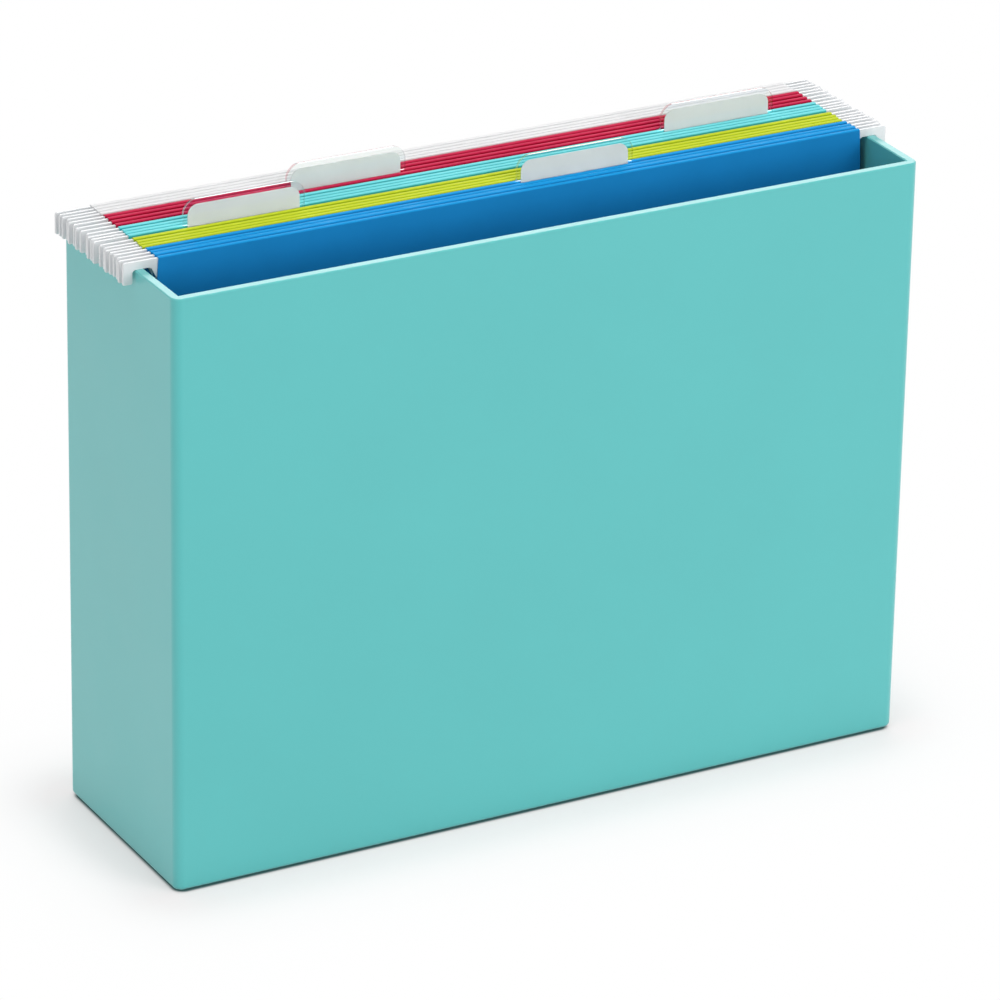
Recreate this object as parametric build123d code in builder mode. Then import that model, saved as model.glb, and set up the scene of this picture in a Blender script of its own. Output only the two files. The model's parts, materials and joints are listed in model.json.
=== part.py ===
from build123d import *
import os

os.makedirs("parts", exist_ok=True)

# Desk file box with ten hanging folders, in millimetres.
# The origin is on the desk under the middle of the box, +X along the width, +Y to the back.

# Box
BOX_W = 320.0
BOX_D = 96.0
RIM_Z = 244.0
WALL = 3.7
FLOOR_T = 3.7
CORNER_R = 3.6
BASE_EDGE_R = 1.8
RIM_CHAMFER = 0.4

# Non-slip pads under the box
PAD_T = 0.8
PAD_R = 7.0
PAD_PITCH_X = 286.0
PAD_PITCH_Y = 62.0

# Hanging rails: flat bars whose moulded hook ends straddle the side walls with a notch
RAIL_T = 1.2
RAIL_H = 8.6
RAIL_LEN = 329.6
RAIL_ABOVE_RIM = 3.1
REST_GAP = 0.05
LEG_W = 3.7
NOTCH_TOP_W = 7.6
NOTCH_FOOT_W = 10.4
NOTCH_R = 1.0
LEG_R = 0.9
HOOK_L = 18.0

# Folder sheets: one card, scored and folded into a hem round each rail and a flat-bottomed crease
PAPER_T = 0.35
LEAF_W = 304.8
LEAF_TAPER = 0.8
LEAF_TAPER_H = 8.0
FOLDER_H = 235.0
HEM_SLACK = 0.05
HEM_HEADROOM = 0.1
HEM_CORNER = 0.2
FLAP_BELOW_RAIL = 0.5
GLUE_BELOW_RAIL = 4.5
CREASE_HALF_W = 0.8

# Index tabs: clear folded sleeves, each with a label inside and two tongues behind a hem
TAB_W = 50.8
TAB_H = 10.8
TAB_R = 6.0
TAB_FILM_T = 0.25
TAB_DEPTH = 1.0
TAB_FOLD_R = 0.35
TAB_GAP = 0.35
TAB_LIP = 0.8
TONGUE_W = 9.0
TONGUE_DROP = 7.0
TONGUE_PITCH = 32.0
LABEL_W = 46.8
LABEL_H = 8.8
LABEL_R = 4.2
LABEL_T = 0.25

# Folders from front to back: name, front rail y, spacing to the rear rail,
# then the sideways shifts of the card, the front rail and the rear rail
FOLDERS = [
    ("blue_2", -14.5, 3.0, 1.1, 0.0, -0.3),
    ("blue_1", -8.5, 3.2, 1.0, 0.5, 0.6),
    ("lime_2", -2.6, 2.6, 0.3, 0.3, -0.3),
    ("lime_1", 2.6, 3.2, 0.8, 0.4, 0.2),
    ("aqua_2", 9.8, 2.6, 0.6, -0.6, -0.2),
    ("aqua_1", 15.0, 3.2, 0.9, -0.5, 0.6),
    ("red_2", 21.6, 3.4, 1.0, -0.3, -0.6),
    ("red_1", 28.6, 2.9, 1.2, 0.2, -0.6),
    ("white_2", 34.6, 2.7, 0.8, 0.3, -0.4),
    ("white_1", 40.1, 2.8, 1.0, -0.3, -0.6),
]

# Tabs: folder, hem that the tongues sit behind, middle of the tab along the rail
TABS = [
    ("blue_1", "front", 30.0),
    ("lime_1", "rear", -104.0),
    ("aqua_1", "front", 106.6),
    ("red_2", "front", -52.9),
]

# The front folder opens: its rear hem swings on its rail and its leaves part at the crease
SWING_SLACK = 0.65
CREASE_WRAP_DEG = 165.0

RAIL_TOP = RIM_Z + REST_GAP + RAIL_ABOVE_RIM
RAIL_BOTTOM = RAIL_TOP - RAIL_H
NOTCH_TOP = RIM_Z + REST_GAP
HEM_HALF = RAIL_T / 2 + HEM_SLACK + PAPER_T / 2
HEM_TOP = RAIL_TOP + HEM_HEADROOM + PAPER_T / 2
FOLD_TOP = HEM_TOP + PAPER_T / 2
GLUE_Z = RAIL_BOTTOM - GLUE_BELOW_RAIL
CREASE_LOW = FOLD_TOP - FOLDER_H
CREASE_MID_Z = CREASE_LOW + PAPER_T / 2
PIVOT_Z = CREASE_MID_Z + CREASE_HALF_W


def save(part, name):
    part.label = name
    export_step(part, f"parts/{name}.step")


def make_box_shell():
    """Open-topped box with a flat rim, rounded outer corners and sharp inner ones."""
    with BuildPart() as shell:
        with BuildSketch(Plane.XY.offset(PAD_T)):
            RectangleRounded(BOX_W, BOX_D, CORNER_R)
        extrude(amount=RIM_Z - PAD_T)
        base_edges = shell.faces().sort_by(Axis.Z).first.edges()
        fillet(base_edges, BASE_EDGE_R)
        with BuildSketch(Plane.XY.offset(PAD_T + FLOOR_T)):
            Rectangle(BOX_W - 2 * WALL, BOX_D - 2 * WALL)
        extrude(amount=RIM_Z, mode=Mode.SUBTRACT)
        rim_edges = shell.faces().sort_by(Axis.Z).last.edges()
        chamfer(rim_edges, RIM_CHAMFER)
    save(shell.part, "box_shell")


def make_foot_pads():
    """Four thin round pads that keep the base just off the desk."""
    with BuildPart() as pads:
        with BuildSketch():
            with GridLocations(PAD_PITCH_X, PAD_PITCH_Y, 2, 2):
                Circle(PAD_R)
        extrude(amount=PAD_T)
    save(pads.part, "foot_pads")


def make_rail(name, rail_y, shift):
    """Flat bar whose hooked ends hang on the rim of the side walls."""
    tip = RAIL_LEN / 2
    with BuildPart() as rail:
        with BuildSketch(Plane.XZ.offset(-rail_y)) as profile:
            with Locations((shift, RAIL_TOP - RAIL_H / 2)):
                Rectangle(RAIL_LEN, RAIL_H)
            for side in (-1, 1):
                notch_out = shift + side * (tip - LEG_W)
                with BuildLine():
                    Polyline(
                        (notch_out, NOTCH_TOP),
                        (notch_out - side * NOTCH_TOP_W, NOTCH_TOP),
                        (notch_out - side * NOTCH_FOOT_W, RAIL_BOTTOM),
                        (notch_out, RAIL_BOTTOM),
                        close=True,
                    )
                make_face(mode=Mode.SUBTRACT)
            fillet(profile.vertices().group_by(Axis.Y)[1], NOTCH_R)
            along = profile.vertices().group_by(Axis.X)
            fillet(along[0] + along[-1], LEG_R)
        extrude(amount=RAIL_T / 2, both=True)
        for side in (-1, 1):
            split(bisect_by=Plane.YZ.offset(shift + side * (tip - HOOK_L)), keep=Keep.BOTH)
    save(rail.part, name)


def hem_points(rail_y, side, swing=0.0):
    """Middle line of a hem, from the glued end of its flap to where the leaf leaves it."""
    leaf_y = rail_y + side * (HEM_HALF + swing)
    flap_y = rail_y - side * HEM_HALF
    return [
        (leaf_y - side * PAPER_T, GLUE_Z),
        (flap_y, RAIL_BOTTOM - FLAP_BELOW_RAIL),
        (flap_y, HEM_TOP - HEM_CORNER),
        (flap_y + side * HEM_CORNER, HEM_TOP),
        (leaf_y - side * HEM_CORNER, HEM_TOP),
        (leaf_y, HEM_TOP - HEM_CORNER),
        (leaf_y, GLUE_Z),
    ]


def make_sheet(name, points, shift, wrap_round=None):
    """Card along a middle line, with a wrap round the crease if its centre is given."""
    half = LEAF_W / 2
    low = CREASE_LOW - PAPER_T
    high = FOLD_TOP + PAPER_T
    with BuildPart() as sheet:
        with BuildSketch(Plane.YZ.offset(shift)):
            with BuildLine():
                Polyline(*points)
            trace(line_width=PAPER_T)
            if wrap_round:
                with BuildLine():
                    CenterArc(wrap_round, CREASE_HALF_W, 0, -CREASE_WRAP_DEG)
                trace(line_width=PAPER_T)
        extrude(amount=half, both=True)
        with BuildSketch(Plane.XZ):
            with BuildLine():
                Polyline(
                    (shift - half, low),
                    (shift - half, FOLD_TOP - LEAF_TAPER_H),
                    (shift - half + LEAF_TAPER, high),
                    (shift + half - LEAF_TAPER, high),
                    (shift + half, FOLD_TOP - LEAF_TAPER_H),
                    (shift + half, low),
                    close=True,
                )
            make_face()
        extrude(amount=BOX_D, both=True, mode=Mode.INTERSECT)
    save(sheet.part, name)


def make_folder_sheet(name, front_y, rear_y, shift):
    """Whole folder card: front hem, front leaf, scored bottom creases, rear leaf and rear hem."""
    middle = (front_y + rear_y) / 2
    crease = [
        (middle - CREASE_HALF_W, CREASE_MID_Z),
        (middle + CREASE_HALF_W, CREASE_MID_Z),
    ]
    make_sheet(name, hem_points(front_y, -1) + crease + hem_points(rear_y, 1)[::-1], shift)


def make_opening_leaves(front_y, rear_y, shift):
    """Front folder's card as two leaves that meet at a round crease."""
    middle = (front_y + rear_y) / 2
    rear = hem_points(rear_y, 1, SWING_SLACK)
    rear.append((middle + CREASE_HALF_W, PIVOT_Z))
    make_sheet("leaf_blue_2_rear", rear, shift, (middle, PIVOT_Z))
    front = hem_points(front_y, -1)
    front.append((middle - CREASE_HALF_W, PIVOT_Z))
    make_sheet("leaf_blue_2_front", front, shift)


def make_tab(name, hem_back_y, middle_x):
    """Clear sleeve folded over at the top, whose near wall has a lip and two tongues behind the hem."""
    near_y = hem_back_y + TAB_GAP + TAB_FILM_T / 2
    far_y = near_y + TAB_DEPTH - TAB_FILM_T
    foot_z = FOLD_TOP + TAB_GAP
    top_z = FOLD_TOP + TAB_H
    lip_z = foot_z - TAB_LIP
    tongue_z = foot_z - TONGUE_DROP
    with BuildPart() as tab:
        with BuildSketch(Plane.YZ.offset(middle_x)):
            with BuildLine():
                FilletPolyline(
                    (far_y, foot_z),
                    (far_y, top_z - TAB_FILM_T / 2),
                    (near_y, top_z - TAB_FILM_T / 2),
                    (near_y, tongue_z),
                    radius=TAB_FOLD_R,
                )
            trace(line_width=TAB_FILM_T)
        extrude(amount=TAB_W / 2, both=True)
        with BuildSketch(Plane.XZ) as outline:
            with Locations((middle_x, (lip_z + top_z) / 2)):
                Rectangle(TAB_W, top_z - lip_z)
            fillet(outline.vertices().group_by(Axis.Y)[-1], TAB_R)
            with Locations((middle_x, foot_z)):
                with GridLocations(TONGUE_PITCH, 1, 2, 1):
                    Rectangle(TONGUE_W, 2 * TONGUE_DROP)
        extrude(amount=BOX_D, both=True, mode=Mode.INTERSECT)
    save(tab.part, f"tab_{name}")
    label_y = (near_y + far_y) / 2
    with BuildPart() as label:
        with BuildSketch(Plane.XZ.offset(-label_y)) as card:
            with Locations((middle_x, lip_z + LABEL_H / 2)):
                Rectangle(LABEL_W, LABEL_H)
            fillet(card.vertices().group_by(Axis.Y)[-1], LABEL_R)
        extrude(amount=LABEL_T / 2, both=True)
    save(label.part, f"label_{name}")


make_box_shell()
make_foot_pads()

rails = {}
for folder, front_y, spacing, card_shift, front_shift, rear_shift in FOLDERS:
    rear_y = front_y + spacing
    rails[folder] = {"front": front_y, "rear": rear_y}
    make_rail(f"rail_{folder}_front", front_y, front_shift)
    make_rail(f"rail_{folder}_rear", rear_y, rear_shift)
    if folder == "blue_2":
        make_opening_leaves(front_y, rear_y, card_shift)
    else:
        make_folder_sheet(f"sheet_{folder}", front_y, rear_y, card_shift)

for folder, hem, middle_x in TABS:
    hem_back_y = rails[folder][hem] + HEM_HALF + PAPER_T / 2
    make_tab(folder, hem_back_y, middle_x)
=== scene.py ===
import json
import math
import bmesh
import bpy
from mathutils import Matrix, Vector, noise

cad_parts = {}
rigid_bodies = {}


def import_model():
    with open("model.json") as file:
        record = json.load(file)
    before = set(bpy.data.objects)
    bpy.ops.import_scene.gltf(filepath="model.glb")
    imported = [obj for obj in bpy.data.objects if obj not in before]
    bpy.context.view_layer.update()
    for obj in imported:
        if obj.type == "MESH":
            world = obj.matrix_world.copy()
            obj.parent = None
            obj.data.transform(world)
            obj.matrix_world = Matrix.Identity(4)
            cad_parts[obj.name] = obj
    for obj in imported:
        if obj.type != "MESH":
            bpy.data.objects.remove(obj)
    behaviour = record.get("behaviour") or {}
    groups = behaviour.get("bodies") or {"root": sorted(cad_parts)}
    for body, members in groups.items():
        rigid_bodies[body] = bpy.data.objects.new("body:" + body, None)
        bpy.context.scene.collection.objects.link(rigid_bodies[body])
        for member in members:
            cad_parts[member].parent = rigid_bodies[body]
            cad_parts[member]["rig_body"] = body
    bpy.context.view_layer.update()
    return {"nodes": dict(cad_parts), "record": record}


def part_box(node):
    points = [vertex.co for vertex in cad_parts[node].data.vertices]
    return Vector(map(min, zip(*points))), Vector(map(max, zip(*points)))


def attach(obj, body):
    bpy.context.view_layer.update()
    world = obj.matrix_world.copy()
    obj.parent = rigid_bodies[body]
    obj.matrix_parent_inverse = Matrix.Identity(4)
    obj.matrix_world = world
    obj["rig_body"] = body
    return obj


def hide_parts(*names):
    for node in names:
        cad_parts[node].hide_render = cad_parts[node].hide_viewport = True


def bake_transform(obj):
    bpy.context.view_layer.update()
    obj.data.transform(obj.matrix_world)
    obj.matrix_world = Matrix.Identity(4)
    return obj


# Desk file box with ten hanging folders, in metres, in the part's own frame.
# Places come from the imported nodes. The small sizes below are the details of the cards and the rails.

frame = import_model()

MM = 0.001

# Rails: hook outline and edge rounding
LEG_W = 3.7 * MM
NOTCH_TOP_W = 7.6 * MM
NOTCH_FOOT_W = 10.4 * MM
NOTCH_DEPTH = 5.5 * MM
NOTCH_R = 1.0 * MM
RAIL_CORNER_R = 0.8 * MM
RAIL_FOOT_R = 0.35 * MM
RAIL_EDGE = 0.2 * MM
RAIL_EDGE_STEPS = 3

# Folder card
PAPER = 0.35 * MM
HEM_SLACK = 0.05 * MM
HEM_HEADROOM = 0.1 * MM
HEM_R = 0.38 * MM
FLAP_BELOW_RAIL = 0.5 * MM
FLAP_R = 1.0 * MM
GLUE_BELOW_RAIL = 4.5 * MM
KINK_R = 5.0 * MM
CREASE_HALF_W = 0.8 * MM
CREASE_R = 0.75 * MM
LEAF_TAPER = 0.8 * MM
LEAF_TAPER_H = 8.0 * MM
SWING_SLACK = 0.65 * MM
# Height over which the painted highlight along the top of each hem's fold fades in
FOLD_HIGHLIGHT_H = 0.6 * MM
CARD_STEPS_ACROSS = 44
CARD_STEP_DOWN = 9.0 * MM
ARC_STEP = math.radians(18)
MITRE_LIMIT = 0.5
WAVE_INNER = 0.3 * MM
WAVE_FRONT = 0.5 * MM
WAVE_SCALE = 9.0
WAVE_SEED_STEP = 7.3
WAVE_SEED_FRONT = 3.1

# Angles in degrees above which an edge stays sharp
RAIL_SHARP = 35
CARD_SHARP = 50

# Levels of a noise texture between which a colour or roughness drifts
NOISE_LOW = 0.3
NOISE_HIGH = 0.7

# Share of a tab's film that shadow rays meet
FILM_SHADOW = 0.06

# Camera: place, direction in degrees and lens for a 36 mm sensor
CAMERA_AT = (-1.072, -1.941, 1.108)
CAMERA_YAW = 29.0
CAMERA_PITCH = 24.16
CAMERA_ROLL = 1.09
CAMERA_LENS = 224.2
SENSOR_W = 36.0
CLIP_NEAR = 0.05
CLIP_FAR = 60

# Light levels
WORLD_FILL = 0.3
WHITE = 1.0

# Softboxes: name, place, width and height, power in watts. Each faces the target.
SOFTBOX_TARGET = (0, 0, 0.13)
SOFTBOXES = (
    ("key", (1.22, -2.12, 1.02), (1.4, 1.6), 28),
    ("overhead", (-0.1, -0.2, 2.6), (2.4, 2.4), 33),
    ("back_strip", (0.8, 1.9, 1.1), (2.2, 0.6), 15),
    ("left_fill", (-2.2, -0.9, 1.1), (1.6, 1.6), 10),
)

# Floor: what it throws back, its painted shade under the box, its painted warm tint close by, and how it
# looks further off
FLOOR_BOUNCE = (0.94, 0.94, 0.94, 1.0)
FLOOR_PAINTED_SHADE = (0.15, 0.27, 0.27, 1.0)
FLOOR_NEAR_PAINTED_TINT = (1.0, 0.86, 0.86, 1.0)
FLOOR_FAR = (1.0, 1.0, 1.0, 1.0)
FLOOR_SIZE = 30.0

# Distances from the footprint over which the painted shade under the box ends: in the light thrown back,
# and as seen
PAINTED_SHADE_BOUNCE = (3 * MM, 8 * MM)
PAINTED_SHADE_SEEN = (0 * MM, 1.4 * MM)

# Footprint: how far it lies inside the box's outline, and its corners
FOOTPRINT_INSET = 1.2 * MM
FOOTPRINT_CORNER_R = 4.0 * MM

# Share of glowing white in the look of the floor by distance from the footprint, and in the light it throws
# back.
# This painted glow washes the box's shadow out further off and lights the box evenly from below.
FLOOR_GLOW_SHARES = (
    (0 * MM, 0.0),
    (2 * MM, 0.36),
    (12 * MM, 0.44),
    (18 * MM, 0.56),
    (26 * MM, 0.74),
    (36 * MM, 0.88),
    (55 * MM, 0.97),
    (90 * MM, 1.0),
)
FLOOR_GLOW_IN_BOUNCE = 0.2


def srgb(red, green, blue):
    """Linear colour of an 8-bit one."""
    def linear(level):
        part = level / 255
        return part / 12.92 if part <= 0.04045 else ((part + 0.055) / 1.055) ** 2.4
    return (linear(red), linear(green), linear(blue), 1.0)


# Materials

def start_material(name, colour, roughness):
    """Material with a Principled shader. Gives the material, its tree and the shader."""
    material = bpy.data.materials.new(name)
    material.use_nodes = True
    shader = material.node_tree.nodes["Principled BSDF"]
    shader.inputs["Base Color"].default_value = colour
    shader.inputs["Roughness"].default_value = roughness
    return material, material.node_tree, shader


def add_noise(tree, scale, detail=3.0, stretch=(1, 1, 1)):
    """Noise in the piece's own coordinates."""
    place = tree.nodes.new("ShaderNodeTexCoord")
    mapping = tree.nodes.new("ShaderNodeMapping")
    mapping.inputs["Scale"].default_value = stretch
    texture = tree.nodes.new("ShaderNodeTexNoise")
    texture.inputs["Scale"].default_value = scale
    texture.inputs["Detail"].default_value = detail
    tree.links.new(place.outputs["Object"], mapping.inputs["Vector"])
    tree.links.new(mapping.outputs["Vector"], texture.inputs["Vector"])
    return texture


def vary_colour(tree, shader, texture, dark, light):
    """Base colour that drifts between two tones."""
    ramp = tree.nodes.new("ShaderNodeValToRGB")
    ramp.color_ramp.elements[0].position = NOISE_LOW
    ramp.color_ramp.elements[0].color = dark
    ramp.color_ramp.elements[1].position = NOISE_HIGH
    ramp.color_ramp.elements[1].color = light
    tree.links.new(texture.outputs["Fac"], ramp.inputs["Fac"])
    tree.links.new(ramp.outputs["Color"], shader.inputs["Base Color"])
    return ramp


def vary_roughness(tree, shader, texture, low, high):
    """Roughness that drifts between two levels."""
    levels = tree.nodes.new("ShaderNodeMapRange")
    levels.inputs["From Min"].default_value = NOISE_LOW
    levels.inputs["From Max"].default_value = NOISE_HIGH
    levels.inputs["To Min"].default_value = low
    levels.inputs["To Max"].default_value = high
    tree.links.new(texture.outputs["Fac"], levels.inputs["Value"])
    tree.links.new(levels.outputs["Result"], shader.inputs["Roughness"])


def add_bump(tree, shader, texture, strength, depth, under=None):
    """Bump from a texture, on top of an earlier bump if one is given."""
    bump = tree.nodes.new("ShaderNodeBump")
    bump.inputs["Strength"].default_value = strength
    bump.inputs["Distance"].default_value = depth
    tree.links.new(texture.outputs["Fac"], bump.inputs["Height"])
    if under:
        tree.links.new(under.outputs["Normal"], bump.inputs["Normal"])
    tree.links.new(bump.outputs["Normal"], shader.inputs["Normal"])
    return bump


def scale_colour(colour, factor):
    """Colour made darker or lighter."""
    return tuple(min(1.0, part * factor) for part in colour[:3]) + (1.0,)


def shell_plastic():
    """Satin moulded plastic: faint mottling and a very fine orange peel."""
    colour = srgb(77, 189, 188)
    material, tree, shader = start_material("shell_plastic", colour, 0.34)
    shader.inputs["IOR"].default_value = 1.68
    shader.inputs["Sheen Weight"].default_value = 0.25
    shader.inputs["Sheen Roughness"].default_value = 0.5
    mottle = add_noise(tree, 14, 4)
    vary_colour(tree, shader, mottle, scale_colour(colour, 0.985), scale_colour(colour, 1.015))
    vary_roughness(tree, shader, add_noise(tree, 35, 3), 0.32, 0.36)
    peel = add_bump(tree, shader, add_noise(tree, 900, 2), 0.12, 0.05 * MM)
    add_bump(tree, shader, add_noise(tree, 3500, 2), 0.15, 0.01 * MM, peel)
    return material


def pad_rubber():
    """Dark grey cellular rubber."""
    colour = srgb(60, 62, 64)
    material, tree, shader = start_material("pad_rubber", colour, 0.85)
    grain = add_noise(tree, 2500, 4)
    vary_colour(tree, shader, grain, scale_colour(colour, 0.8), scale_colour(colour, 1.2))
    add_bump(tree, shader, grain, 0.5, 0.05 * MM)
    return material


def rail_plastic():
    """Glossy white moulded plastic with a faint flow pattern along the bar."""
    colour = srgb(230, 232, 234)
    material, tree, shader = start_material("rail_plastic", colour, 0.3)
    flow = add_noise(tree, 60, 3, (0.25, 1, 1))
    vary_colour(tree, shader, flow, scale_colour(colour, 0.97), scale_colour(colour, 1.01))
    vary_roughness(tree, shader, add_noise(tree, 120, 3), 0.25, 0.38)
    add_bump(tree, shader, add_noise(tree, 1600, 2), 0.12, 0.02 * MM)
    shader.inputs["Subsurface Weight"].default_value = 0.08
    shader.inputs["Subsurface Radius"].default_value = (0.6 * MM, 0.6 * MM, 0.6 * MM)
    return material


def card(name, colour, highlight_colour):
    """Card with short fibres and faint clouding, with a painted highlight along the top of each fold over a
    rail.
    """
    material, tree, shader = start_material(name, colour, 0.55)
    shader.inputs["Specular IOR Level"].default_value = 0.04
    clouds = add_noise(tree, 55, 5)
    clouded = vary_colour(tree, shader, clouds, scale_colour(colour, 0.97), scale_colour(colour, 1.03))
    # Painted highlight: the colour turns lighter along the top of each hem's fold
    fold_highlight = tree.nodes.new("ShaderNodeAttribute")
    fold_highlight.attribute_name = "fold_highlight"
    mix = tree.nodes.new("ShaderNodeMix")
    mix.data_type = "RGBA"
    mix.inputs["B"].default_value = highlight_colour
    tree.links.new(fold_highlight.outputs["Fac"], mix.inputs["Factor"])
    tree.links.new(clouded.outputs["Color"], mix.inputs["A"])
    tree.links.new(mix.outputs["Result"], shader.inputs["Base Color"])
    vary_roughness(tree, shader, add_noise(tree, 140, 3), 0.45, 0.6)
    fibres = add_bump(tree, shader, add_noise(tree, 1400, 5, (0.35, 1, 1)), 0.22, 0.04 * MM)
    add_bump(tree, shader, add_noise(tree, 4200, 3), 0.2, 0.015 * MM, fibres)
    return material


def tab_film():
    """Clear stiff film with a faint haze. Shadow rays pass it, so it doesn't darken the label in it."""
    colour = srgb(250, 252, 252)
    material, tree, shader = start_material("tab_film", colour, 0.1)
    shader.inputs["Transmission Weight"].default_value = 1.0
    shader.inputs["IOR"].default_value = 1.2
    vary_roughness(tree, shader, add_noise(tree, 90, 3), 0.03, 0.07)
    path = tree.nodes.new("ShaderNodeLightPath")
    cover = tree.nodes.new("ShaderNodeMapRange")
    cover.inputs["To Min"].default_value = 1.0
    cover.inputs["To Max"].default_value = FILM_SHADOW
    tree.links.new(path.outputs["Is Shadow Ray"], cover.inputs["Value"])
    tree.links.new(cover.outputs["Result"], shader.inputs["Alpha"])
    return material


def label_card():
    """Thin frosted white card that lets some blurred light through."""
    colour = srgb(205, 208, 207)
    material, tree, shader = start_material("label_card", colour, 0.55)
    clouds = add_noise(tree, 90, 5)
    vary_colour(tree, shader, clouds, scale_colour(colour, 0.97), scale_colour(colour, 1.02))
    vary_roughness(tree, shader, add_noise(tree, 160, 3), 0.5, 0.62)
    add_bump(tree, shader, add_noise(tree, 2200, 4), 0.2, 0.02 * MM)
    shader.inputs["Transmission Weight"].default_value = 0.22
    shader.inputs["IOR"].default_value = 1.3
    return material


materials = {
    "shell_plastic": shell_plastic(),
    "pad_rubber": pad_rubber(),
    "rail_plastic": rail_plastic(),
    "tab_film": tab_film(),
    "label_card": label_card(),
    "card_blue": card("card_blue", srgb(30, 138, 207), srgb(26, 157, 226)),
    "card_lime": card("card_lime", srgb(170, 194, 22), srgb(204, 218, 52)),
    "card_aqua": card("card_aqua", srgb(56, 186, 194), srgb(126, 228, 233)),
    "card_red": card("card_red", srgb(178, 6, 46), srgb(208, 44, 84)),
    "card_white": card("card_white", srgb(234, 234, 235), srgb(238, 238, 239)),
}


# Outlines

def rounded_path(points, radii, closed=False):
    """Points along a polyline whose corners are tangent arcs."""
    count = len(points)
    path = []
    for index, point in enumerate(points):
        here = Vector(point)
        radius = radii[index]
        at_end = not closed and index in (0, count - 1)
        if at_end or radius == 0:
            path.append(here)
            continue
        back = (Vector(points[index - 1]) - here).normalized()
        ahead = (Vector(points[(index + 1) % count]) - here).normalized()
        half = back.angle(ahead) / 2
        centre = here + (back + ahead).normalized() * (radius / math.sin(half))
        first = here + back * (radius / math.tan(half)) - centre
        last = here + ahead * (radius / math.tan(half)) - centre
        turn = first.angle_signed(last)
        steps = max(1, math.ceil(abs(turn) / ARC_STEP))
        for step in range(steps + 1):
            angle = -turn * step / steps
            path.append(centre + Matrix.Rotation(angle, 2) @ first)
    return path


def finish_mesh(mesh_builder, name, material, body, sharp_deg):
    """Object made from a bmesh, shaded smooth up to an angle, on its body."""
    bmesh.ops.recalc_face_normals(mesh_builder, faces=mesh_builder.faces)
    mesh = bpy.data.meshes.new(name)
    mesh_builder.to_mesh(mesh)
    mesh_builder.free()
    mesh.shade_smooth()
    mesh.set_sharp_from_angle(angle=math.radians(sharp_deg))
    mesh.materials.append(materials[material])
    piece = bpy.data.objects.new(name, mesh)
    bpy.context.scene.collection.objects.link(piece)
    if body:
        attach(piece, body)
    return piece


def plate(outline, near_y, far_y, edge):
    """Flat plate with an XZ outline, from near_y to far_y, with its long edges rounded."""
    builder = bmesh.new()
    near = [builder.verts.new((p.x, near_y, p.y)) for p in outline]
    far = [builder.verts.new((p.x, far_y, p.y)) for p in outline]
    caps = [builder.faces.new(near), builder.faces.new(far[::-1])]
    for index in range(len(outline)):
        after = (index + 1) % len(outline)
        builder.faces.new((near[index], far[index], far[after], near[after]))
    rims = list({line for cap in caps for line in cap.edges})
    bmesh.ops.bevel(builder, geom=rims, offset=edge, offset_type="OFFSET", segments=RAIL_EDGE_STEPS,
                    profile=0.5, affect="EDGES", clamp_overlap=True)
    return builder


# Rails

def rail_outline(low, high):
    """Outline of a rail from its box: a flat bar with a notched hook at each end."""
    notch_top = low.z + NOTCH_DEPTH
    points = [(low.x, high.z), (low.x, low.z)]
    radii = [RAIL_CORNER_R, RAIL_FOOT_R]
    for edge, inward in ((low.x, 1), (high.x, -1)):
        leg = edge + inward * LEG_W
        hook = [
            (leg, low.z),
            (leg, notch_top),
            (leg + inward * NOTCH_TOP_W, notch_top),
            (leg + inward * NOTCH_FOOT_W, low.z),
        ]
        points += hook[::inward]
        radii += [RAIL_FOOT_R, NOTCH_R, NOTCH_R, RAIL_FOOT_R]
    points += [(high.x, low.z), (high.x, high.z)]
    radii += [RAIL_FOOT_R, RAIL_CORNER_R]
    return rounded_path(points, radii, closed=True)


def make_rail(node, body):
    """Moulded rail in place of its node."""
    low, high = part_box(node)
    bar = plate(rail_outline(low, high), low.y, high.y, RAIL_EDGE)
    piece = finish_mesh(bar, f"moulded_{node}", "rail_plastic", body, RAIL_SHARP)
    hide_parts(node)


# Folder cards

def hem_path(rail, side, slack=0.0):
    """Middle line of a hem round a rail's box, from the glued end of its flap to its leaf."""
    low, high = rail
    middle = (low.y + high.y) / 2
    half = (high.y - low.y) / 2 + HEM_SLACK + PAPER / 2
    leaf = middle + side * (half + slack)
    flap = middle - side * half
    top = high.z + HEM_HEADROOM + PAPER / 2
    glue = low.z - GLUE_BELOW_RAIL
    points = [
        (leaf - side * PAPER, glue),
        (flap, low.z - FLAP_BELOW_RAIL),
        (flap, top),
        (leaf, top),
        (leaf, glue),
    ]
    return points, [0, FLAP_R, HEM_R, HEM_R, KINK_R]


def divide_long_runs(path):
    """Adds points to the leaves, so that they can bow."""
    divided = [path[0]]
    for start, end in zip(path, path[1:]):
        steps = max(1, round((end - start).length / CARD_STEP_DOWN))
        divided += [start.lerp(end, step / steps) for step in range(1, steps + 1)]
    return divided


def card_path(front_rail, rear_rail, low_z, rear_slack=0.0):
    """Middle line of a whole folder in the YZ plane: front hem, crease and rear hem."""
    front, front_radii = hem_path(front_rail, -1)
    rear, rear_radii = hem_path(rear_rail, 1, rear_slack)
    middle = (front_rail[0].y + front_rail[1].y + rear_rail[0].y + rear_rail[1].y) / 4
    foot = low_z + PAPER / 2
    crease = [(middle - CREASE_HALF_W, foot), (middle + CREASE_HALF_W, foot)]
    points = front + crease + rear[::-1]
    radii = front_radii + [CREASE_R, CREASE_R] + rear_radii[::-1]
    return divide_long_runs(rounded_path(points, radii))


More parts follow.
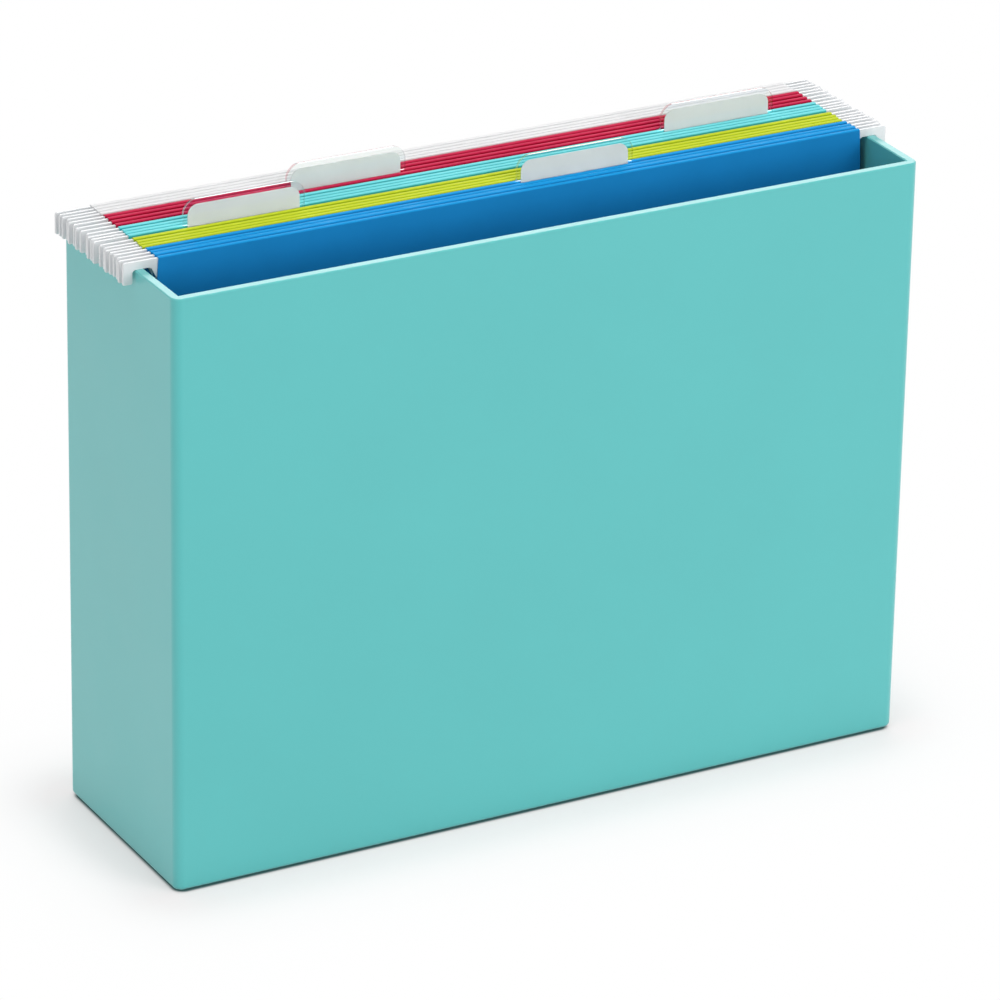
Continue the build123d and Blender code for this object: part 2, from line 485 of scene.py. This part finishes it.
def both_sides(path):
    """Middle line moved by half the card's thickness to each side."""
    one_side, other_side = [], []
    for index, point in enumerate(path):
        before = path[max(0, index - 1)]
        after = path[min(len(path) - 1, index + 1)]
        into = (point - before).normalized() if index else (after - point).normalized()
        out = (after - point).normalized() if index < len(path) - 1 else into
        along = (into + out).normalized()
        normal = Vector((-along.y, along.x))
        reach = PAPER / 2 / max(MITRE_LIMIT, math.cos(into.angle(out) / 2))
        one_side.append(point + normal * reach)
        other_side.append(point - normal * reach)
    return one_side, other_side


def half_width(z, leaf_half, fold_top):
    """Half of the card's width at a height: it narrows over the top few millimetres."""
    rise = max(0.0, (z - (fold_top - LEAF_TAPER_H)) / LEAF_TAPER_H)
    return leaf_half - LEAF_TAPER * rise


def make_card(name, nodes, rails, material, body, rear_slack=0.0, wave=WAVE_INNER, seed=0.0):
    """Folded card as one closed sheet, gently bowed between its hems and its crease."""
    boxes = [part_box(node) for node in nodes]
    low = Vector(min(box[0][i] for box in boxes) for i in range(3))
    high = Vector(max(box[1][i] for box in boxes) for i in range(3))
    path = card_path(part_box(rails[0]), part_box(rails[1]), low.z, rear_slack)
    sides = both_sides(path)
    middle_x = (low.x + high.x) / 2
    leaf_half = (high.x - low.x) / 2
    leaf_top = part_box(rails[0])[0].z - GLUE_BELOW_RAIL
    builder = bmesh.new()
    stations = []
    for step in range(CARD_STEPS_ACROSS + 1):
        across = 2 * step / CARD_STEPS_ACROSS - 1
        loop = []
        for side in sides:
            row = []
            for index, point in enumerate(side):
                z = path[index].y
                depth = min(1.0, max(0.0, (leaf_top - z) / (leaf_top - low.z)))
                x = middle_x + across * half_width(z, leaf_half, high.z)
                leaf = math.copysign(1.0, index - len(side) / 2)
                sway = noise.noise(Vector((x * WAVE_SCALE, seed + leaf, z * WAVE_SCALE)))
                y = point.x + wave * math.sin(math.pi * depth) * sway * 2
                row.append(builder.verts.new((x, y, point.y)))
            loop.append(row)
        stations.append(loop)
    last = len(path) - 1
    for left, right in zip(stations, stations[1:]):
        for index in range(last):
            builder.faces.new((left[0][index], left[0][index + 1], right[0][index + 1], right[0][index]))
            builder.faces.new((left[1][index], right[1][index], right[1][index + 1], left[1][index + 1]))
        for index in (0, last):
            builder.faces.new((left[0][index], right[0][index], right[1][index], left[1][index]))
    for station in (stations[0], stations[-1]):
        for index in range(last):
            builder.faces.new((station[0][index], station[1][index], station[1][index + 1],
                               station[0][index + 1]))
    piece = finish_mesh(builder, name, material, body, CARD_SHARP)
    # Mask of the painted highlight along the top of the hems, full at the card's top edge
    fold_highlight = piece.data.attributes.new("fold_highlight", "FLOAT", "POINT")
    highlight_low = high.z - FOLD_HIGHLIGHT_H
    levels = [min(1.0, max(0.0, (vertex.co.z - highlight_low) / FOLD_HIGHLIGHT_H)) for vertex in piece.data.vertices]
    fold_highlight.data.foreach_set("value", levels)
    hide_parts(*nodes)
    return piece


# Pieces

for node, shape in frame["nodes"].items():
    slot = next(part["material_slot"] for part in frame["record"]["subparts"] if part["node"] == node)
    shape.data.materials.clear()
    shape.data.materials.append(materials[slot])

for node, shape in sorted(frame["nodes"].items()):
    if node.startswith("rail_"):
        make_rail(node, shape["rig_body"])

for order, node in enumerate(sorted(n for n in frame["nodes"] if n.startswith("sheet_"))):
    folder = node.removeprefix("sheet_")
    rails = (f"rail_{folder}_front", f"rail_{folder}_rear")
    colour = folder.split("_")[0]
    make_card(f"card_{folder}", [node], rails, f"card_{colour}", f"folder_{folder}",
              seed=order * WAVE_SEED_STEP)

front_card = make_card("card_blue_2", ["leaf_blue_2_front", "leaf_blue_2_rear"],
                       ("rail_blue_2_front", "rail_blue_2_rear"), "card_blue", None,
                       rear_slack=SWING_SLACK, wave=WAVE_FRONT, seed=WAVE_SEED_FRONT)
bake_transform(front_card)


# Floor

def floor_material():
    """Pale floor that takes the box's soft shadow close by; further off a painted glow makes it white and
    washes the shadow out.

    Near the box its colour has a painted warm tint, against the light that the box throws on it. Right
    against the box and under it the floor is painted dark, a painted contact shadow, as seen and in the
    light it throws back.
    """
    material = bpy.data.materials.new("floor_white")
    material.use_nodes = True
    tree = material.node_tree
    tree.nodes.clear()
    seen = seen_directly(tree)
    reach = FLOOR_GLOW_SHARES[-1][0]
    shares = tree.nodes.new("ShaderNodeValToRGB")
    stops = shares.color_ramp.elements
    for index, (at, share) in enumerate(FLOOR_GLOW_SHARES):
        stop = stops[index] if index < 2 else stops.new(at / reach)
        stop.position = at / reach
        stop.color = (share, share, share, 1.0)
    beside = footprint_distance(tree)
    tree.links.new(range_share(tree, beside, (0, reach)), shares.inputs["Fac"])
    # Painted warm tint close to the box, against the cyan light that the box throws on the floor
    tint = mix_colours(tree, shares.outputs["Color"], FLOOR_NEAR_PAINTED_TINT, FLOOR_FAR)
    # Painted shade: right against and under the box the floor turns dark, as seen and in the light it
    # throws back
    looks = mix_colours(tree, range_share(tree, beside, PAINTED_SHADE_SEEN), FLOOR_PAINTED_SHADE, tint)
    bounce = mix_colours(tree, range_share(tree, beside, PAINTED_SHADE_BOUNCE), FLOOR_PAINTED_SHADE, FLOOR_BOUNCE)
    diffuse = tree.nodes.new("ShaderNodeBsdfDiffuse")
    tree.links.new(mix_colours(tree, seen, bounce, looks), diffuse.inputs["Color"])
    # Painted glow: the floor emits white, in the shares above as seen and in an even small share of the
    # light it throws back
    thrown = (FLOOR_GLOW_IN_BOUNCE,) * 3 + (1.0,)
    share = mix_colours(tree, seen, thrown, shares.outputs["Color"])
    glow = tree.nodes.new("ShaderNodeEmission")
    glow.inputs["Strength"].default_value = WHITE
    surface = tree.nodes.new("ShaderNodeMixShader")
    output = tree.nodes.new("ShaderNodeOutputMaterial")
    tree.links.new(share, surface.inputs["Fac"])
    tree.links.new(diffuse.outputs["BSDF"], surface.inputs[1])
    tree.links.new(glow.outputs["Emission"], surface.inputs[2])
    tree.links.new(surface.outputs["Shader"], output.inputs["Surface"])
    return material


def mix_colours(tree, factor, low, high):
    """Mix of two colours, each a colour or another node's output."""
    mix = tree.nodes.new("ShaderNodeMix")
    mix.data_type = "RGBA"
    tree.links.new(factor, mix.inputs["Factor"])
    for socket, colour in (("A", low), ("B", high)):
        if isinstance(colour, tuple):
            mix.inputs[socket].default_value = colour
        else:
            tree.links.new(colour, mix.inputs[socket])
    return mix.outputs["Result"]


def range_share(tree, value, ends):
    """Share from 0 to 1 of a value between two ends."""
    levels = tree.nodes.new("ShaderNodeMapRange")
    levels.inputs["From Min"].default_value, levels.inputs["From Max"].default_value = ends
    tree.links.new(value, levels.inputs["Value"])
    return levels.outputs["Result"]


def footprint_distance(tree):
    """Distance on the floor from the box's round-cornered footprint."""
    low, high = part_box("box_shell")
    inset = FOOTPRINT_INSET + FOOTPRINT_CORNER_R
    half = ((high.x - low.x) / 2 - inset, (high.y - low.y) / 2 - inset, 0)
    place = tree.nodes.new("ShaderNodeTexCoord").outputs["Object"]
    steps = (("ABSOLUTE", None), ("SUBTRACT", half), ("MAXIMUM", (0, 0, 0)), ("LENGTH", None))
    for operation, other in steps:
        step = tree.nodes.new("ShaderNodeVectorMath")
        step.operation = operation
        tree.links.new(place, step.inputs[0])
        if other:
            step.inputs[1].default_value = other
        place = step.outputs["Value" if operation == "LENGTH" else "Vector"]
    beyond = tree.nodes.new("ShaderNodeMath")
    beyond.operation = "SUBTRACT"
    beyond.inputs[1].default_value = FOOTPRINT_CORNER_R
    tree.links.new(place, beyond.inputs[0])
    return beyond.outputs["Value"]


def seen_directly(tree):
    """1 for camera, glossy and transmission rays, 0 for the others."""
    path = tree.nodes.new("ShaderNodeLightPath")
    first = tree.nodes.new("ShaderNodeMath")
    first.operation = "MAXIMUM"
    second = tree.nodes.new("ShaderNodeMath")
    second.operation = "MAXIMUM"
    tree.links.new(path.outputs["Is Camera Ray"], first.inputs[0])
    tree.links.new(path.outputs["Is Glossy Ray"], first.inputs[1])
    tree.links.new(first.outputs["Value"], second.inputs[0])
    tree.links.new(path.outputs["Is Transmission Ray"], second.inputs[1])
    return second.outputs["Value"]


def make_floor():
    """Large flat floor under the box, as stage."""
    builder = bmesh.new()
    bmesh.ops.create_grid(builder, x_segments=1, y_segments=1, size=FLOOR_SIZE / 2)
    mesh = bpy.data.meshes.new("floor")
    builder.to_mesh(mesh)
    builder.free()
    mesh.materials.append(floor_material())
    floor = bpy.data.objects.new("floor", mesh)
    bpy.context.scene.collection.objects.link(floor)


def make_world():
    """Even fill from all sides, which looks white itself."""
    world = bpy.data.worlds.new("studio")
    bpy.context.scene.world = world
    world.use_nodes = True
    tree = world.node_tree
    background = tree.nodes["Background"]
    background.inputs["Color"].default_value = (1, 1, 1, 1)
    levels = tree.nodes.new("ShaderNodeMapRange")
    levels.inputs["To Min"].default_value = WORLD_FILL
    levels.inputs["To Max"].default_value = WHITE
    tree.links.new(seen_directly(tree), levels.inputs["Value"])
    tree.links.new(levels.outputs["Result"], background.inputs["Strength"])


def add_softbox(name, place, size, power):
    """Rectangular soft light at a place, turned to the target."""
    light = bpy.data.lights.new(name, "AREA")
    light.shape = "RECTANGLE"
    light.size, light.size_y = size
    light.energy = power
    lamp = bpy.data.objects.new(name, light)
    bpy.context.scene.collection.objects.link(lamp)
    lamp.location = place
    ahead = Vector(SOFTBOX_TARGET) - Vector(place)
    lamp.rotation_euler = ahead.to_track_quat("-Z", "Y").to_euler()


def make_camera():
    """Camera from the photograph's viewing angle."""
    yaw, pitch, roll = (math.radians(angle) for angle in (CAMERA_YAW, CAMERA_PITCH, CAMERA_ROLL))
    forward = Vector((math.sin(yaw) * math.cos(pitch), math.cos(yaw) * math.cos(pitch), -math.sin(pitch)))
    level = Vector((math.cos(yaw), -math.sin(yaw), 0))
    upright = level.cross(forward)
    right = level * math.cos(roll) + upright * math.sin(roll)
    up = upright * math.cos(roll) - level * math.sin(roll)
    view = bpy.data.cameras.new("camera")
    view.sensor_width = SENSOR_W
    view.lens = CAMERA_LENS
    view.clip_start = CLIP_NEAR
    view.clip_end = CLIP_FAR
    camera = bpy.data.objects.new("camera", view)
    bpy.context.scene.collection.objects.link(camera)
    axes = Matrix((right, up, -forward)).transposed().to_4x4()
    camera.matrix_world = Matrix.Translation(CAMERA_AT) @ axes
    bpy.context.scene.camera = camera


make_floor()
make_world()
make_camera()
for name, place, size, power in SOFTBOXES:
    add_softbox(name, place, size, power)

bpy.context.scene.view_settings.view_transform = "Standard"
